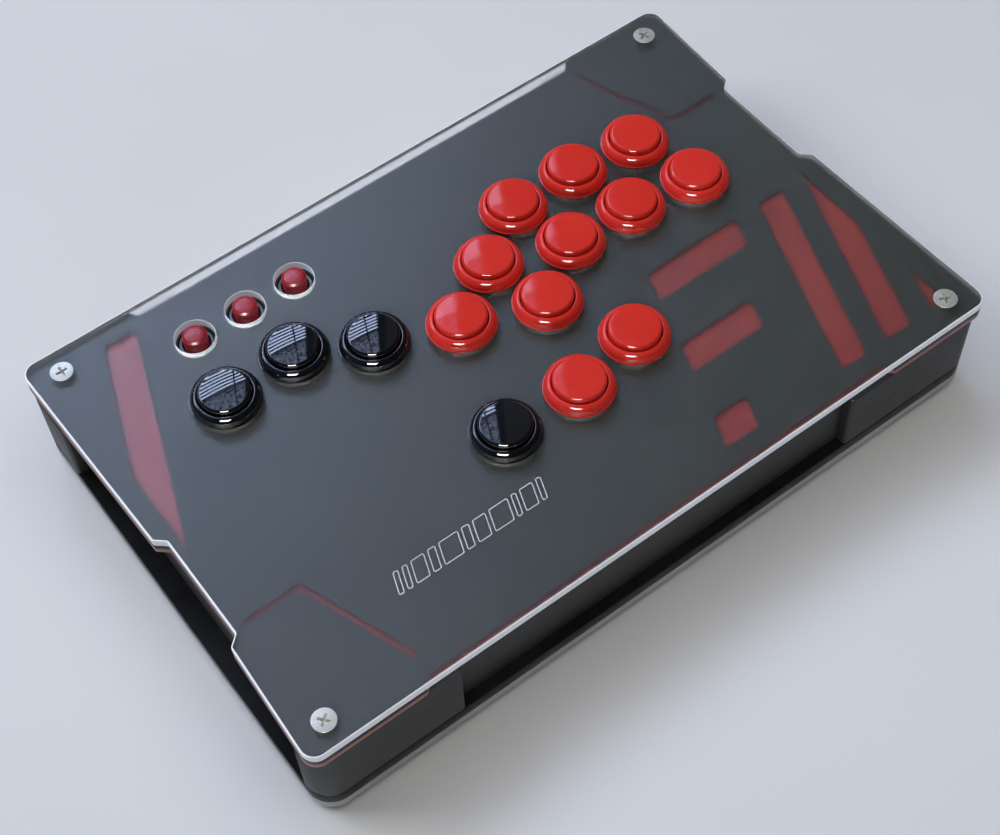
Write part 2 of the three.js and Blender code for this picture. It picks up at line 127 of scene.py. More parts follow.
def ramp(tree, source, low, high, start=0.35, end=0.65):
    node = add(tree, "ShaderNodeMapRange")
    for key, value in (("From Min", start), ("From Max", end), ("To Min", low), ("To Max", high)):
        node.inputs[key].default_value = value
    tree.links.new(source, node.inputs["Value"])
    return node.outputs["Result"]


def colours(tree, source, low, high, start=0.35, end=0.65):
    node = add(tree, "ShaderNodeValToRGB")
    node.color_ramp.elements[0].position = start
    node.color_ramp.elements[0].color = (*low, 1)
    node.color_ramp.elements[1].position = end
    node.color_ramp.elements[1].color = (*high, 1)
    tree.links.new(source, node.inputs["Fac"])
    return node.outputs["Color"]


def bump(tree, shader, source, strength, distance):
    node = add(tree, "ShaderNodeBump", Strength=strength, Distance=distance)
    tree.links.new(source, node.inputs["Height"])
    tree.links.new(node.outputs["Normal"], shader.inputs["Normal"])


def moulded(name, dark, light, rough, grain, grain_depth, **sockets):
    """Plastic, rubber or metal: blotchy colour, uneven gloss and a fine grain."""
    material, tree, shader = new_material(name)
    broad = noise(tree, 35, 4)
    fine = noise(tree, grain, 3)
    tree.links.new(colours(tree, broad, dark, light), shader.inputs["Base Color"])
    tree.links.new(ramp(tree, noise(tree, 180, 5), *rough), shader.inputs["Roughness"])
    bump(tree, shader, fine, 0.6, grain_depth)
    for key, value in sockets.items():
        shader.inputs[key.replace("_", " ")].default_value = value
    return material


def paint_edge_glow_and_inner_shade(material, glow):
    """Paint a glow on a wall's outer face by emission, though it is no lamp, and paint shade on its inner
    face, so that it stays dark when seen through the sheet.
    """
    tree = material.node_tree
    shader = tree.nodes["Principled BSDF"]
    inside = add(tree, "ShaderNodeNewGeometry").outputs["Backfacing"]
    painted_inner_shade_mix = add(tree, "ShaderNodeMix", data_type="RGBA")
    tree.links.new(inside, painted_inner_shade_mix.inputs[0])
    tree.links.new(shader.inputs["Base Color"].links[0].from_socket, painted_inner_shade_mix.inputs[6])
    # Painted shade: seen from inside, the wall is dark grey instead of its white edge colour.
    painted_inner_shade_mix.inputs[7].default_value = (0.12, 0.12, 0.12, 1)
    tree.links.new(painted_inner_shade_mix.outputs[2], shader.inputs["Base Color"])
    # Painted glow: the outer face emits light, the inner face none.
    shader.inputs["Emission Color"].default_value = (0.85, 0.9, 1.0, 1)
    tree.links.new(ramp(tree, inside, glow, 0, 0, 1), shader.inputs["Emission Strength"])


def clear_sheet(name, rough, ripple):
    material, tree, shader = new_material(name)
    shader.inputs["Base Color"].default_value = (0.97, 0.985, 0.99, 1)
    shader.inputs["Transmission Weight"].default_value = 1
    shader.inputs["IOR"].default_value = 1.37
    tree.links.new(ramp(tree, noise(tree, 120, 5), *rough), shader.inputs["Roughness"])
    bump(tree, shader, noise(tree, 1600, 2), 0.5, ripple)
    return material


SATIN_CLEAR = clear_sheet("acrylic_satin_top", (0.40, 0.46), 4e-6)
SMOOTH_CLEAR = clear_sheet("acrylic_clear_under", (0.02, 0.05), 1e-6)
CUT_EDGE = moulded(
    "acrylic_cut_edge", (0.86, 0.87, 0.90), (0.92, 0.93, 0.95), (0.35, 0.5), 900, 3e-5, Specular_IOR_Level=0
)
# White frosted cut edges, with a painted glow of 0.14 on their outer faces and painted shade on their inner
# faces.
paint_edge_glow_and_inner_shade(CUT_EDGE, 0.14)
# Option-switch hole walls: pale frosted edge plus a painted glow (emission 0.14), though they are no lamp.
SWITCH_HOLE_GLOW_EDGE = moulded(
    "switch_hole_edge", (0.66, 0.69, 0.72), (0.78, 0.80, 0.82), (0.3, 0.45), 900, 3e-5,
    Emission_Color=(0.72, 0.84, 1.0, 1), Emission_Strength=0.14,
)
# Play-button hole walls: near black, a painted shade standing in for the contact shadow under the rims.
SHADED_EDGE = moulded("shaded_hole_edge", (0.012, 0.012, 0.013), (0.02, 0.02, 0.021), (0.5, 0.7), 900, 3e-5)
ENGRAVED = moulded("engraved_line", (0.62, 0.64, 0.66), (0.85, 0.86, 0.87), (0.5, 0.7), 3000, 1e-5)
BLACK_ACRYLIC = moulded(
    "black_acrylic", (0.0140, 0.0155, 0.0125), (0.0180, 0.0195, 0.0155), (0.24, 0.36), 700, 4e-6,
    Specular_IOR_Level=0.25,
)
BLACK_BASE = moulded(
    "black_base", (0.006, 0.006, 0.006), (0.010, 0.010, 0.010), (0.3, 0.42), 900, 8e-6,
    Specular_IOR_Level=0.15,
)
RED_ACRYLIC = moulded("red_acrylic", (0.118, 0.013, 0.009), (0.143, 0.017, 0.012), (0.22, 0.32), 600, 4e-6)
RED_EDGE = moulded("red_acrylic_edge", (0.38, 0.13, 0.12), (0.48, 0.18, 0.16), (0.35, 0.5), 900, 3e-5)
GREY_ACRYLIC = moulded("grey_acrylic", (0.44, 0.45, 0.45), (0.54, 0.55, 0.55), (0.32, 0.46), 800, 1e-5)
FRAME = moulded(
    "frame_plastic", (0.0125, 0.0135, 0.0125), (0.0155, 0.0165, 0.0155), (0.50, 0.56), 2600, 1.5e-5
)
RED_BUTTON = moulded(
    "red_button", (0.68, 0.030, 0.020), (0.73, 0.036, 0.025), (0.07, 0.13), 420, 3e-6, IOR=1.52
)
BLACK_BUTTON = moulded(
    "black_button", (0.004, 0.004, 0.006), (0.007, 0.007, 0.009), (0.02, 0.045), 420, 1e-6, IOR=1.75
)
RED_CAP = moulded(
    "red_cap", (0.32, 0.010, 0.018), (0.44, 0.020, 0.030), (0.24, 0.4), 560, 2.2e-4,
    Coat_Weight=0.3, Coat_Roughness=0.2,
)
NICKEL = moulded(
    "nickel_plate", (0.46, 0.45, 0.40), (0.70, 0.69, 0.62), (0.25, 0.42), 1900, 9e-5, Metallic=0.5
)
SWITCH_METAL = moulded(
    "switch_metal", (0.10, 0.10, 0.105), (0.19, 0.19, 0.195), (0.3, 0.45), 2400, 2e-5, Metallic=1.0
)
SATIN_METAL = moulded(
    "satin_metal", (0.34, 0.34, 0.35), (0.5, 0.5, 0.51), (0.28, 0.42), 2400, 2e-5, Metallic=1.0
)
RUBBER = moulded("foot_rubber", (0.012, 0.012, 0.012), (0.03, 0.03, 0.03), (0.7, 0.9), 2200, 1e-4)
BOARD_GREEN = moulded("board_green", (0.012, 0.09, 0.04), (0.02, 0.13, 0.06), (0.3, 0.45), 1200, 4e-5)
NYLON = moulded("black_nylon", (0.02, 0.02, 0.022), (0.035, 0.035, 0.037), (0.45, 0.6), 2600, 6e-5)
GOLD = moulded("gold_contact", (0.7, 0.45, 0.12), (0.85, 0.58, 0.2), (0.2, 0.35), 2000, 1e-5, Metallic=1.0)


# ------------------------------------------------------------- outlines, in mm
def rounded(points, steps=8, closed=True):
    """The outline through [x, y, corner radius] points, with its corners rounded."""
    outline = []
    for i, (x, y, radius) in enumerate(points):
        corner = Vector((x, y))
        ends = not closed and i in (0, len(points) - 1)
        if not radius or ends:
            outline.append(corner)
            continue
        before = (Vector(points[i - 1][:2]) - corner).normalized()
        after = (Vector(points[(i + 1) % len(points)][:2]) - corner).normalized()
        half = before.angle(after) / 2
        middle = corner + (before + after).normalized() * (radius / math.sin(half))
        start = corner + before * (radius / math.tan(half)) - middle
        turn = -math.copysign(math.pi - 2 * half, before.cross(after))
        for k in range(steps + 1):
            angle = turn * k / steps
            cos, sin = math.cos(angle), math.sin(angle)
            outline.append(middle + Vector((start.x * cos - start.y * sin, start.x * sin + start.y * cos)))
    return outline


def circle(x, y, radius, count=72):
    turn = 2 * math.pi / count
    return [Vector((x + radius * math.cos(i * turn), y + radius * math.sin(i * turn))) for i in range(count)]


def area(loop):
    return sum(a.cross(b) for a, b in zip(loop, loop[1:] + loop[:1])) / 2


def inset(loop, distance):
    """The loop moved to its left, which is into the material."""
    if not distance:
        return list(loop)
    moved = []
    for before, point, after in zip(loop[-1:] + loop[:-1], loop, loop[1:] + loop[:1]):
        first = (point - before).normalized()
        second = (after - point).normalized()
        left = Vector((-first.y - second.y, first.x + second.x)).normalized()
        reach = max(0.3, left.dot(Vector((-first.y, first.x))))
        moved.append(point + left * (distance / reach))
    return moved


def half_turn(points):
    return [(-x, -y, radius) for x, y, radius in points]


def set_back(depth):
    reach = OVERHANG_HALF
    return [
        (-reach - OVERHANG_RAMP, -HALF_DEPTH, 0.3),
        (-reach, -HALF_DEPTH + depth, 0.8),
        (reach, -HALF_DEPTH + depth, 0.8),
        (reach + OVERHANG_RAMP, -HALF_DEPTH, 0.3),
    ]


def upper_outline(front=0.0, back=0.0):
    """Plan of the clear, art and red plates, set back in the middle of the long sides."""
    left_end = [
        (-GRIP_SHOULDER_X, GRIP_TO_Y + GRIP_RAMP, 1.2),
        (-GRIP_EDGE_X, GRIP_TO_Y, 1.2),
        (-GRIP_EDGE_X, GRIP_FROM_Y, 1.2),
        (-GRIP_SHOULDER_X, GRIP_FROM_Y - GRIP_RAMP, 1.2),
    ]
    corner = (-HALF_LENGTH, -HALF_DEPTH, PLATE_CORNER)
    flipped = (HALF_LENGTH, -HALF_DEPTH, PLATE_CORNER)
    outline = [corner, *(set_back(front) if front else []), flipped, *half_turn(left_end)]
    outline += [*half_turn([corner]), *(half_turn(set_back(back)) if back else []), *half_turn([flipped])]
    return rounded([*outline, *left_end])


def base_outline():
    x, y, radius = HALF_LENGTH, HALF_DEPTH, BASE_CORNER
    return rounded([(-x, -y, radius), (x, -y, radius), (x, y, radius), (-x, y, radius)], 16)


def leaning_window(left, right, top, bottom):
    shift = (top - bottom) * LEAN
    return [(left, top, 0.7), (left - shift, bottom, 0.7), (right - shift, bottom, 0.7), (right, top, 0.7)]


def corner_slot(end_x, bend_x, level_y, tip_y):
    lean = (level_y - tip_y) * LEAN
    across = SLOT_WIDTH / math.cos(math.atan(LEAN))
    return [
        (end_x, level_y, 0.5),
        (end_x, level_y - SLOT_WIDTH, 0.5),
        (bend_x - across + SLOT_WIDTH * LEAN, level_y - SLOT_WIDTH, 0.5),
        (bend_x - across + lean, tip_y, 0.5),
        (bend_x + lean, tip_y, 0.5),
        (bend_x, level_y, 0.5),
    ]


def art_windows():
    edge = ART_EDGE_X
    bottom = ART_BOTTOM_Y
    left_blade = [(-117.4, ART_TOP_Y, 0.7), (-edge, 33, 0.7), (-edge, -4.5, 0), (-104.1, ART_TOP_Y, 0.7)]
    right_blade = [(edge, -6.5, 0), (107.6, bottom, 0.7), (119.8, bottom, 0.7), (edge, -38, 0.7)]
    windows = [
        left_blade,
        right_blade,
        leaning_window(59.5, 102.4, -8.5, -21.2),
        leaning_window(48.6, 81.8, -40.8, -53.2),
        leaning_window(37.3, 52.3, -72, bottom),
        leaning_window(113.8, 125.9, -8.5, bottom),
        corner_slot(-136, -113.7, -38.1, bottom),
        half_turn(corner_slot(-137.4, -115.6, -43.2, -88)),
    ]
    return [rounded(window, 5) for window in windows]


def screw_window(screw):
    """The small corner window, joined to the screw hole that it runs into."""
    x, y = screw
    edge, bottom = ART_EDGE_X, ART_BOTTOM_Y
    reach = bottom - y
    side = math.sqrt(SCREW_HOLE**2 - reach**2)
    right = math.sqrt(SCREW_HOLE**2 - (edge - x) ** 2)
    start, stop = math.atan2(reach, -side), math.atan2(right, edge - x)
    arc = [start + (stop + 2 * math.pi - start) * i / 24 for i in range(25)]
    hole = [Vector((x + SCREW_HOLE * math.cos(a), y + SCREW_HOLE * math.sin(a))) for a in arc]
    return [Vector((edge, -64)), Vector((130, bottom)), *hole]


# --------------------------------------------------------------------- meshes
def finish_mesh(name, mesh_data, materials, body, angle=32):
    mesh = bpy.data.meshes.new(name)
    mesh_data.to_mesh(mesh)
    mesh_data.free()
    mesh.transform(((MM, 0, 0, 0), (0, MM, 0, 0), (0, 0, MM, 0), (0, 0, 0, 1)))
    smooth = [face.use_smooth for face in mesh.polygons]
    mesh.set_sharp_from_angle(angle=math.radians(angle))
    mesh.polygons.foreach_set("use_smooth", smooth)
    for material in materials:
        mesh.materials.append(material)
    piece = bpy.data.objects.new(name, mesh)
    bpy.context.scene.collection.objects.link(piece)
    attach(piece, body)
    return piece


def edge_profile(low, high, edge, steps=3):
    """(z, inset) up a wall whose two edges are rounded."""
    turns = [math.pi / 2 * i / steps for i in range(steps + 1)]
    lower = [(low + edge * (1 - math.cos(t)), edge * (1 - math.sin(t))) for t in turns]
    return lower + [(high + low - z, back) for z, back in reversed(lower)]


def add_slab(mesh, loops, low, high, edge=0.25, profiles=None, slots=(0, 0, 0), walls=None):
    """A flat plate with holes. The first loop is its outline.

    slots are the materials of its top, underside and edges; walls gives a loop its own.
    """
    profiles, walls = profiles or {}, walls or {}
    rings = []
    for i, loop in enumerate(loops):
        if (area(loop) > 0) != (i == 0):
            loop = loop[::-1]
        steps = profiles.get(i) or edge_profile(low, high, edge)
        levels = [[mesh.verts.new((p.x, p.y, z)) for p in inset(loop, back)] for z, back in steps]
        rings.append(levels)
        for lower, upper in zip(levels, levels[1:]):
            count = len(lower)
            for k in range(count):
                j = (k + 1) % count
                face = mesh.faces.new((lower[k], lower[j], upper[j], upper[k]))
                face.material_index, face.smooth = walls.get(i, slots[2]), True
    for level, up, slot in ((-1, 1, slots[0]), (0, -1, slots[1])):
        verts = [v for levels in rings for v in levels[level]]
        flat = [[Vector((v.co.x, v.co.y, 0)) for v in levels[level]] for levels in rings]
        for a, b, c in tessellate_polygon(flat):
            first, second, third = verts[a], verts[b], verts[c]
            turn = (second.co - first.co).cross(third.co - first.co).z
            order = (first, second, third) if turn * up > 0 else (first, third, second)
            face = mesh.faces.new(order)
            face.material_index, face.smooth = slot, False


def slab(name, loops, low, high, materials, slot, body="case", **options):
    mesh = bmesh.new()
    add_slab(mesh, loops, low, high, **options)
    return finish_mesh(name, mesh, materials, body)


def add_lathe(mesh, profile, x=0.0, y=0.0, z=0.0, count=72, slot=0):
    """A solid of revolution from (radius, height) points, drawn upwards on its outside."""
    rings = []
    for radius, height in profile:
        if radius < 1e-6:
            rings.append([mesh.verts.new((x, y, z + height))])
        else:
            rings.append([mesh.verts.new((*p, z + height)) for p in circle(x, y, radius, count)])
    for lower, upper in zip(rings, rings[1:]):
        for k in range(count):
            j = (k + 1) % count
            if len(lower) == 1:
                corners = (lower[0], upper[j], upper[k])
            elif len(upper) == 1:
                corners = (lower[k], lower[j], upper[0])
            else:
                corners = (lower[k], lower[j], upper[j], upper[k])
            face = mesh.faces.new(corners)
            face.material_index, face.smooth = slot, True
    return rings


def lathe(name, profile, place, height, materials, body, count=72):
    mesh = bmesh.new()
    add_lathe(mesh, profile, *place, height, count)
    bmesh.ops.remove_doubles(mesh, verts=mesh.verts, dist=1e-5)
    return finish_mesh(name, mesh, materials, body)


def soft(points, steps=5):
    """A lathe profile with its corners rounded, from (radius, height, corner radius)."""
    return [(max(p.x, 0.0), p.y) for p in rounded(points, steps, closed=False)]


# --------------------------------------------------------------------- plates
def hole_loops(play, option, screw):
    loops = [circle(*centre(n), play) for n in HOUSINGS]
    loops += [circle(*centre(n), option) for n in OPTIONS]
    return loops + [circle(*centre(n), screw, 48) for n in SCREWS]


def make_clear_plate():
    low, high = span("clear_top_plate")
    loops = [upper_outline(), *hole_loops(BUTTON_HOLE, OPTION_HOLE_CLEAR, SCREW_HOLE)]
    flare = SCREW_HEAD + 0.06 - SCREW_HOLE
    sink = [(low, 0), (high - SINK_DEPTH, 0), (high - 0.2, flare), (high, flare)]
    profiles = {len(loops) - 1 - i: sink for i in range(len(SCREWS))}
    crisp = edge_profile(low, high, 0.2)
    profiles.update({1 + i: crisp for i in range(len(HOUSINGS) + len(OPTIONS))})
    # Play-button hole walls take the painted shade, option-switch hole walls the painted glow.
    shaded, painted_glow_wall = 4, 3
    walls = {1 + i: shaded for i in range(len(HOUSINGS))}
    walls.update({1 + len(HOUSINGS) + i: painted_glow_wall for i in range(len(OPTIONS))})
    materials = [SATIN_CLEAR, SMOOTH_CLEAR, CUT_EDGE, SWITCH_HOLE_GLOW_EDGE, SHADED_EDGE]
    piece = slab(
        "clear_plate_look", loops, low, high, materials, "clear_acrylic",
        edge=0.5, profiles=profiles, slots=(0, 1, 2), walls=walls,
    )
    piece.visible_shadow = False
    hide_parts("clear_top_plate")


def make_art_plate():
    low, high = span("art_plate")
    holes = hole_loops(BUTTON_HOLE, OPTION_HOLE_ART, SCREW_HOLE)
    front_right = SCREWS.index("corner_screw_front_right") - len(SCREWS)
    holes[front_right] = screw_window(centre("corner_screw_front_right"))
    loops = [upper_outline(ART_OVERHANG, ART_OVERHANG), *holes, *art_windows()]
    piece = slab("art_plate_look", loops, low, high, [BLACK_ACRYLIC], "black_acrylic", edge=0.12)
    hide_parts("art_plate")


def make_red_plate():
    low, high = span("red_plate")
    loops = [upper_outline(RED_FRONT_OVERHANG, ART_OVERHANG)]
    loops += hole_loops(BUTTON_HOLE, OPTION_HOLE_RED, SCREW_HOLE)
    materials = [RED_ACRYLIC, RED_EDGE]
    piece = slab("red_plate_look", loops, low, high, materials, "red_acrylic", edge=0.12, slots=(0, 0, 1))
    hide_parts("red_plate")


def make_base():
    holes = [circle(*centre(n), SCREW_HOLE, 48) for n in SCREWS]
    for node, material, slot in (
        ("base_layer", BLACK_BASE, "black_acrylic"),
        ("bottom_plate", GREY_ACRYLIC, "frosted_acrylic"),
    ):
        piece = slab(node + "_look", [base_outline(), *holes], *span(node), [material], slot, edge=0.35)
        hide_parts(node)


# ----------------------------------------------------------------------- case
def block_outline(end_x, end_y, flank_y):
    inner_x, inner_y = -HALF_LENGTH + BLOCK_WIDTH, -HALF_DEPTH + BLOCK_DEPTH
    leg = [(inner_x, -BOSS_Y, 1.5), (inner_x, -end_y, 0.8)] if end_y < BOSS_Y else []
    step = [(-WALL_FACE_X, -end_y, 0.3), (-WALL_FACE_X, -flank_y, 0.3)] if flank_y > end_y else []
    return [
        (-HALF_LENGTH, -HALF_DEPTH, BASE_CORNER), (-end_x, -HALF_DEPTH, 1.5), (-end_x, inner_y, 0.8),
        (-BOSS_X, inner_y, 1.5), (-BOSS_X, -BOSS_Y, 1.5), *leg, *step, (-HALF_LENGTH, -flank_y, 1.5),
    ]


def make_blocks():
    for corner, sizes, mirror, turn in (
        ("front_left", SHORT_BLOCK, 1, 1),
        ("back_right", SHORT_BLOCK, 1, -1),
        ("front_right", LONG_BLOCK, -1, 1),
        ("back_left", LONG_BLOCK, -1, -1),
    ):
        node = "corner_block_" + corner
        points = [(x * mirror * turn, y * turn, radius) for x, y, radius in block_outline(*sizes)]
        hole = circle(*centre("corner_screw_" + corner), SCREW_HOLE, 48)
        outline = rounded(points[:: 1 if mirror > 0 else -1], 12)
        piece = slab(node + "_look", [outline, hole], *span(node), [FRAME], "frame_plastic", edge=0.5)
        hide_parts(node)


def make_walls():
    for side in ("front", "left", "right"):
        node = "wall_" + side
        low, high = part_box(node)
        x0, y0, x1, y1 = (v / MM for v in (low[0], low[1], high[0], high[1]))
        outline = rounded([(x0, y0, 0.4), (x1, y0, 0.4), (x1, y1, 0.4), (x0, y1, 0.4)], 4)
        piece = slab(node + "_look", [outline], *span(node), [FRAME], "frame_plastic", edge=0.4)
        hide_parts(node)
    make_back_wall()


def make_back_wall():
    """The back wall lies on its side while it is built, so that the port is a hole through it."""
    low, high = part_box("wall_back")
    port = centre("cable_socket")[0]
    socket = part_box("cable_socket")
    middle = (socket[0][2] + socket[1][2]) / 2 / MM
    x0, x1 = low[0] / MM, high[0] / MM
    z0, z1 = low[2] / MM, high[2] / MM
    outline = rounded([(x0, z0, 0.4), (x1, z0, 0.4), (x1, z1, 0.4), (x0, z1, 0.4)], 4)
    left, right = port - PORT_HALF_WIDTH, port + PORT_HALF_WIDTH
    bottom, top = middle - PORT_HALF_HEIGHT, middle + PORT_HALF_HEIGHT
    hole = rounded([(*p, PORT_CORNER) for p in ((left, bottom), (right, bottom), (right, top), (left, top))])
    mesh = bmesh.new()
    add_slab(mesh, [outline, hole], -high[1] / MM, -low[1] / MM, edge=0.5)
    for v in mesh.verts:
        v.co = Vector((v.co.x, -v.co.z, v.co.y))
    piece = finish_mesh("wall_back_look", mesh, [FRAME], "case")
    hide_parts("wall_back")


def make_feet():
    low, high = span(FEET[0])
    height = high - low
    profile = soft([(0, 0, 0), (6.3, 0, 0.5), (7, 0.7, 0.6), (7, height, 0.1), (0, height, 0)])
    for node in FEET:
        piece = lathe(node + "_look", profile, centre(node), low, [RUBBER], "case")
        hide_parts(node)


# --------------------------------------------------------------------- screws
def cross_cutter():
    """A tapered cross-head recess, as one closed solid per bar."""
    mesh = bmesh.new()
    for swap in (False, True):
        verts = []
        for z, length, width in ((-2.1, 0.95, 0.34), (0.3, 2.5, 0.5)):
            for sx, sy in ((-1, -1), (1, -1), (1, 1), (-1, 1)):
                x, y = sx * length, sy * width
                verts.append(mesh.verts.new((y, -x, z) if swap else (x, y, z)))
        for quad in ((3, 2, 1, 0), (4, 5, 6, 7), (0, 1, 5, 4), (1, 2, 6, 5), (2, 3, 7, 6), (3, 0, 4, 7)):
            mesh.faces.new([verts[i] for i in quad])
    return mesh


def make_screws():
    low, high = span(SCREWS[0])
    profile = soft([
        (0, low - high, 0), (SCREW_SHANK, low - high, 0.3), (SCREW_SHANK, -2.6, 0.2),
        (SCREW_HEAD, -0.3, 0.1), (SCREW_HEAD, 0, 0.12), (0, 0, 0),
    ])
    cutter = bpy.data.objects.new("cross_cutter", bpy.data.meshes.new("cross_cutter"))
    data = cross_cutter()
    data.to_mesh(cutter.data)
    data.free()
    bpy.context.scene.collection.objects.link(cutter)
    for node in SCREWS:
        mesh = bmesh.new()
        add_lathe(mesh, profile, count=SCREW_SEGMENTS)
        bmesh.ops.remove_doubles(mesh, verts=mesh.verts, dist=1e-5)
        raw = bpy.data.meshes.new("raw_screw")
        mesh.to_mesh(raw)
        mesh.free()
        body = bpy.data.objects.new("raw_screw", raw)
        bpy.context.scene.collection.objects.link(body)
        recess = body.modifiers.new("recess", "BOOLEAN")
        recess.object, recess.operation, recess.solver, recess.use_self = cutter, "DIFFERENCE", "EXACT", True
        ready = body.evaluated_get(bpy.context.evaluated_depsgraph_get())
        result = bmesh.new()
        result.from_mesh(ready.to_mesh())
        bpy.data.objects.remove(body)
        angle = 0.35 * SCREWS.index(node)
        x, y = centre(node)
        for v in result.verts:
            turned = Vector((v.co.x * math.cos(angle) - v.co.y * math.sin(angle),
                             v.co.x * math.sin(angle) + v.co.y * math.cos(angle), v.co.z))
            v.co = turned + Vector((x, y, high))
        piece = finish_mesh(node + "_look", result, [NICKEL], "case", 25)
        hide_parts(node)
    bpy.data.objects.remove(cutter)


# -------------------------------------------------------------------- buttons
def housing_profile():
    """A barrel, a flange undercut at its foot, and a crown that rises to the bore."""
    outside = soft([
        (STEM_HOLE, -BARREL_DEPTH, 0), (BARREL, -BARREL_DEPTH, 0.6), (BARREL, 0.05, 0.05),
        (BEZEL - 0.65, 0.05, 0.1), (BEZEL - 0.1, 0.75, 0.2), (BEZEL, BEZEL_WIDEST, 0.15),
    ])
    inner_edge, foot = BORE + 0.6, BEZEL_WIDEST + 0.22
    lip = [(BEZEL - 0.1, BEZEL_WIDEST + 0.18), (BEZEL - 0.28, foot)]
    crown = []
    for i in range(17):
        t = math.pi / 2 * i / 16
        reach, rise = math.cos(t) ** 1.1, math.sin(t) ** 0.92
        crown.append((inner_edge + (BEZEL - 0.34 - inner_edge) * reach, foot + (BEZEL_HEIGHT - foot) * rise))
    inside = soft([
        (inner_edge, BEZEL_HEIGHT, 0), (BORE, BEZEL_HEIGHT - 0.04, 0.38), (BORE, -BARREL_FLOOR, 0.4),
        (STEM_HOLE, -BARREL_FLOOR, 0), (STEM_HOLE, -BARREL_DEPTH, 0),
    ])
    return outside + lip + crown + inside


def plunger_profile():
    """A skirt, a broad rounded edge and a top that is very slightly domed."""
    edge_r, crown = 1.15, 0.3
    rim, shoulder = PLUNGER - edge_r, PLUNGER_HEIGHT - crown - edge_r
    edge = []
    for i in range(13):
        t = math.pi / 2 * i / 12
        edge.append((rim + edge_r * math.cos(t), shoulder + edge_r * math.sin(t)))
    dome = []
    for i in range(1, 13):
        out = 1 - i / 12
        dome.append((rim * out, PLUNGER_HEIGHT - crown * out * out))
    skirt = soft([
        (0, -BARREL_FLOOR - 0.1, 0), (STEM, -BARREL_FLOOR - 0.1, 0.3), (STEM, -PLUNGER_SKIRT, 0.3),
        (PLUNGER, -PLUNGER_SKIRT, 0.4), (PLUNGER, shoulder, 0),
    ])
    return skirt[:-1] + edge + dome


def make_play_buttons():
    outer, inner = housing_profile(), plunger_profile()
    for housing in HOUSINGS:
        label = housing.replace("housing_", "")
        red = label.startswith("action")
        material, slot = (RED_BUTTON, "button_red") if red else (BLACK_BUTTON, "button_black")
        place, plunger, count = centre(housing), "plunger_" + label, HOUSING_SEGMENTS
        ring = lathe(housing + "_look", outer, place, TOP, [material], "case", count)
        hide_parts(housing)
        button = lathe(plunger + "_look", inner, place, TOP, [material], "button_" + label, count)
        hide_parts(plunger)


def make_option_buttons():
    switch = soft([
        (0, -22, 0), (5.85, -22, 0.5), (5.85, -5.5, 0.1), (6.6, -5.5, 0.1), (6.6, -3.9, 0.35),
        (5.25, -3.9, 0.25), (5.25, -9.2, 0.2), (0, -9.2, 0),
    ])
    turns = [math.pi / 2 * i / 8 for i in range(9)]
    dome = [(3.9 * math.cos(t), 1.35 + 0.45 * math.sin(t)) for t in turns]
    cap = soft([(0, -7.8, 0), (4.7, -7.8, 0.3), (4.7, 0.8, 0.6), (4.15, 1.3, 0.3)])[:-1] + dome
    for node in OPTIONS:
        place, number = centre(node), node.split("_")[-1]
        body, cap_node = "button_option_" + number, "option_cap_" + number
        piece = lathe(node + "_look", switch, place, TOP, [SWITCH_METAL], "case")
        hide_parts(node)
        button = lathe(cap_node + "_look", cap, place, TOP, [RED_CAP], body)
        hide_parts(cap_node)


# ---------------------------------------------------------------------- marks
def make_marks():
    """A plain row of slanted outlined bars, in place of any lettering."""
    mesh = bmesh.new()
    low, high = TOP - 0.02, TOP + 0.03
    left, shift = BARS_LEFT, (BAR_TOP - BAR_BOTTOM) * LEAN
    for width in BAR_WIDTHS:
        right = left + width
        corners = ((left, BAR_BOTTOM), (right, BAR_BOTTOM), (right + shift, BAR_TOP), (left + shift, BAR_TOP))
        outer = rounded([(*corner, 0.6) for corner in corners], 4)
        add_slab(mesh, [outer, inset(outer, BAR_LINE)], low, high, edge=0.02)
        left += width + BAR_GAP
    return finish_mesh("engraved_bars", mesh, [ENGRAVED], "case")


# ----------------------------------------------------------------- electronics
def make_contacts():
    """Two rows of gold contacts on the socket's tongue."""
    low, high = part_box("cable_socket")
    x, mouth, middle = ((low[0] + high[0]) / 2 / MM, high[1] / MM, (low[2] + high[2]) / 2 / MM)
    mesh = bmesh.new()
    for side in (-1, 1):
        for i in range(CONTACTS):
            left = x - 2.95 + CONTACT_PITCH * i
            right, back, front = left + CONTACT_WIDTH, mouth - 5, mouth - 1.1
            corners = ((left, back), (right, back), (right, front), (left, front))
            outline = rounded([(*corner, 0.1) for corner in corners], 3)
            inner, outer = sorted((middle + side * 0.33, middle + side * 0.39))
            add_slab(mesh, [outline], inner, outer, edge=0.02)
    finish_mesh("socket_contacts", mesh, [GOLD], "case")


def make_electronics():
    looks = {"control_board": BOARD_GREEN, "board_bracket": NYLON, "cable_socket": SATIN_METAL}
    for node, material in looks.items():
        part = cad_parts[node]
        part.data.materials.clear()
        part.data.materials.append(material)
    make_contacts()


make_clear_plate()
make_art_plate()
make_red_plate()
make_base()
make_blocks()
make_walls()
make_feet()
make_screws()
make_play_buttons()
make_option_buttons()
make_marks()
make_electronics()


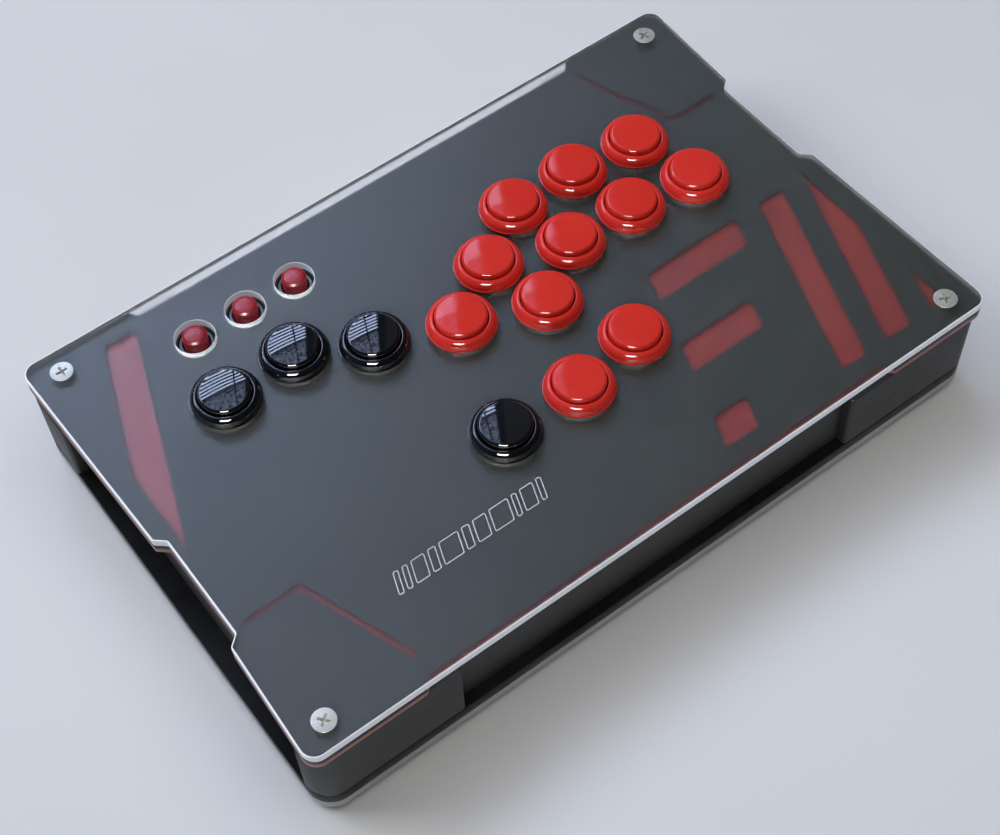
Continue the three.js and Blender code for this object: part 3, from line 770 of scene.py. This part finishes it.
# -------------------------------------------------------------- floor, lights
# Headings are degrees from +Y towards +X, rises degrees from +Y towards +Z.
# The look values here and in the materials were tuned by colour samples.
ROOM = (0.013, 0.014, 0.012)
GLOW_FROM, GLOW_REACH, GLOW = (-0.5, 0.55, 0.67), (0.5, 0.97), (0.03, 0.05, 0.10)
WALL_HEADING, WALL_RISE, WALL_COLOUR = (34, 62), (30, 75), (0.07, 0.07, 0.058)
WINDOW_HEADING, MULLION_HEADING, WINDOW_RISE = (-30, 30), (24.6, 25.3), (38, 55.2)
SLAT_PITCH, SILL_RISE, SILL_SHARE = 1.36, (56.4, 76), 0.12
WINDOW_COLOUR, WINDOW_STRENGTH = (0.56, 0.68, 1.0), 9.8


def make_floor():
    mesh = bpy.data.meshes.new("floor")
    mesh.from_pydata([(-8, -8, 0), (8, -8, 0), (8, 8, 0), (-8, 8, 0)], [], [(0, 1, 2, 3)])
    floor = bpy.data.objects.new("floor", mesh)
    material, tree, shader = new_material("pale_floor")
    pale = colours(tree, noise(tree, 3, 4), (0.70, 0.70, 0.70), (0.74, 0.74, 0.74))
    tree.links.new(pale, shader.inputs["Base Color"])
    shader.inputs["Roughness"].default_value = 0.7
    mesh.materials.append(material)
    bpy.context.scene.collection.objects.link(floor)


def area_light(name, place, target, size, power, colour):
    light = bpy.data.lights.new(name, "AREA")
    light.shape, light.size, light.size_y = "RECTANGLE", size[0], size[1]
    light.energy, light.color = power, colour
    lamp = bpy.data.objects.new(name, light)
    lamp.location = place
    lamp.rotation_euler = (Vector(target) - Vector(place)).to_track_quat("-Z", "Y").to_euler()
    bpy.context.scene.collection.objects.link(lamp)
    lamp.visible_camera = False
    return lamp


def make_lights():
    """Two large soft lights that the gloss doesn't show, and a bright strip that only the gloss shows."""
    target = (0, 0, 0.03)
    key = area_light("key", (-0.95, 0.95, 1.25), target, (0.9, 0.8), 15, (0.92, 0.96, 1.0))
    fill = area_light("fill", (0.3, -0.2, 1.7), target, (1.8, 1.8), 15, (1.0, 0.98, 0.96))
    for soft_light in (key, fill):
        soft_light.visible_glossy = soft_light.visible_transmission = False
    strip = area_light("strip", (-0.8, -0.75, 1.2), target, (0.62, 0.6), 36, (1.0, 0.98, 0.95))
    strip.visible_diffuse = strip.visible_transmission = False


def maths(tree, operation, *values):
    node = add(tree, "ShaderNodeMath", operation=operation)
    for socket, value in zip(node.inputs, values):
        if isinstance(value, (int, float)):
            socket.default_value = value
        else:
            tree.links.new(value, socket)
    return node.outputs[0]


def between(tree, value, low, high, blur):
    """1 where value lies between low and high, fading over blur."""
    rise = ramp(tree, value, 0, 1, low - blur, low + blur)
    fall = ramp(tree, value, 1, 0, high - blur, high + blur)
    return maths(tree, "MULTIPLY", rise, fall)


def degrees_between(tree, value, span_of, blur):
    return between(tree, value, *(math.radians(v) for v in (*span_of, blur)))


def make_world():
    """A dim room, a paler wall, and a window with blinds at the back left for the gloss to show."""
    world = bpy.data.worlds.new("soft_studio")
    world.use_nodes = True
    tree = world.node_tree
    place = add(tree, "ShaderNodeTexCoord")
    parts = add(tree, "ShaderNodeSeparateXYZ")
    tree.links.new(place.outputs["Generated"], parts.inputs[0])
    heading = maths(tree, "ARCTAN2", parts.outputs[0], parts.outputs[1])
    rise = maths(tree, "ARCTAN2", parts.outputs[2], parts.outputs[1])
    facing = add(tree, "ShaderNodeVectorMath", operation="DOT_PRODUCT")
    facing.inputs[1].default_value = Vector(GLOW_FROM).normalized()
    tree.links.new(place.outputs["Generated"], facing.inputs[0])
    brighter = [a + b for a, b in zip(ROOM, GLOW)]
    room = colours(tree, facing.outputs["Value"], ROOM, brighter, *GLOW_REACH)
    wall_across = degrees_between(tree, heading, WALL_HEADING, 0.8)
    wall = maths(tree, "MULTIPLY", wall_across, degrees_between(tree, rise, WALL_RISE, 4))
    across = degrees_between(tree, heading, WINDOW_HEADING, 0.4)
    mullion = maths(tree, "SUBTRACT", 1, degrees_between(tree, heading, MULLION_HEADING, 0.15))
    across = maths(tree, "MULTIPLY", across, mullion)
    slats = maths(tree, "SINE", maths(tree, "MULTIPLY", rise, 360 / SLAT_PITCH))
    slats = ramp(tree, slats, 0.0, 1, -0.1, 0.5)
    slats = maths(tree, "MULTIPLY", degrees_between(tree, rise, WINDOW_RISE, 0.2), slats)
    sill = degrees_between(tree, rise, SILL_RISE, 1.0)
    sill = maths(tree, "MULTIPLY", sill, ramp(tree, noise(tree, 60, 3), 0, 2 * SILL_SHARE, 0.3, 0.7))
    window = maths(tree, "MULTIPLY", across, maths(tree, "ADD", slats, sill))
    glow = maths(tree, "MULTIPLY", window, WINDOW_STRENGTH)
    total = None
    for colour, strength in ((room, 1), ((*WALL_COLOUR, 1), wall), ((*WINDOW_COLOUR, 1), glow)):
        back = add(tree, "ShaderNodeBackground")
        for value, socket in ((colour, back.inputs["Color"]), (strength, back.inputs["Strength"])):
            if isinstance(value, (int, float, tuple)):
                socket.default_value = value
            else:
                tree.links.new(value, socket)
        if total:
            both = add(tree, "ShaderNodeAddShader")
            tree.links.new(total, both.inputs[0])
            tree.links.new(back.outputs[0], both.inputs[1])
        total = both.outputs[0] if total else back.outputs[0]
    tree.links.new(total, tree.nodes["World Output"].inputs["Surface"])
    bpy.context.scene.world = world


def make_camera():
    data = bpy.data.cameras.new("camera")
    data.lens, data.sensor_width = 64.461, 36
    data.shift_x, data.shift_y = 0.0224, 0.0017
    camera = bpy.data.objects.new("camera", data)
    camera.location = (-0.21776, -0.31653, 0.56882)
    camera.rotation_euler = [math.radians(v) for v in (33.700, 2.4228, -36.390)]
    bpy.context.scene.collection.objects.link(camera)
    bpy.context.scene.camera = camera


make_floor()
make_world()
make_lights()
make_camera()
bpy.context.scene.view_settings.view_transform = "Standard"
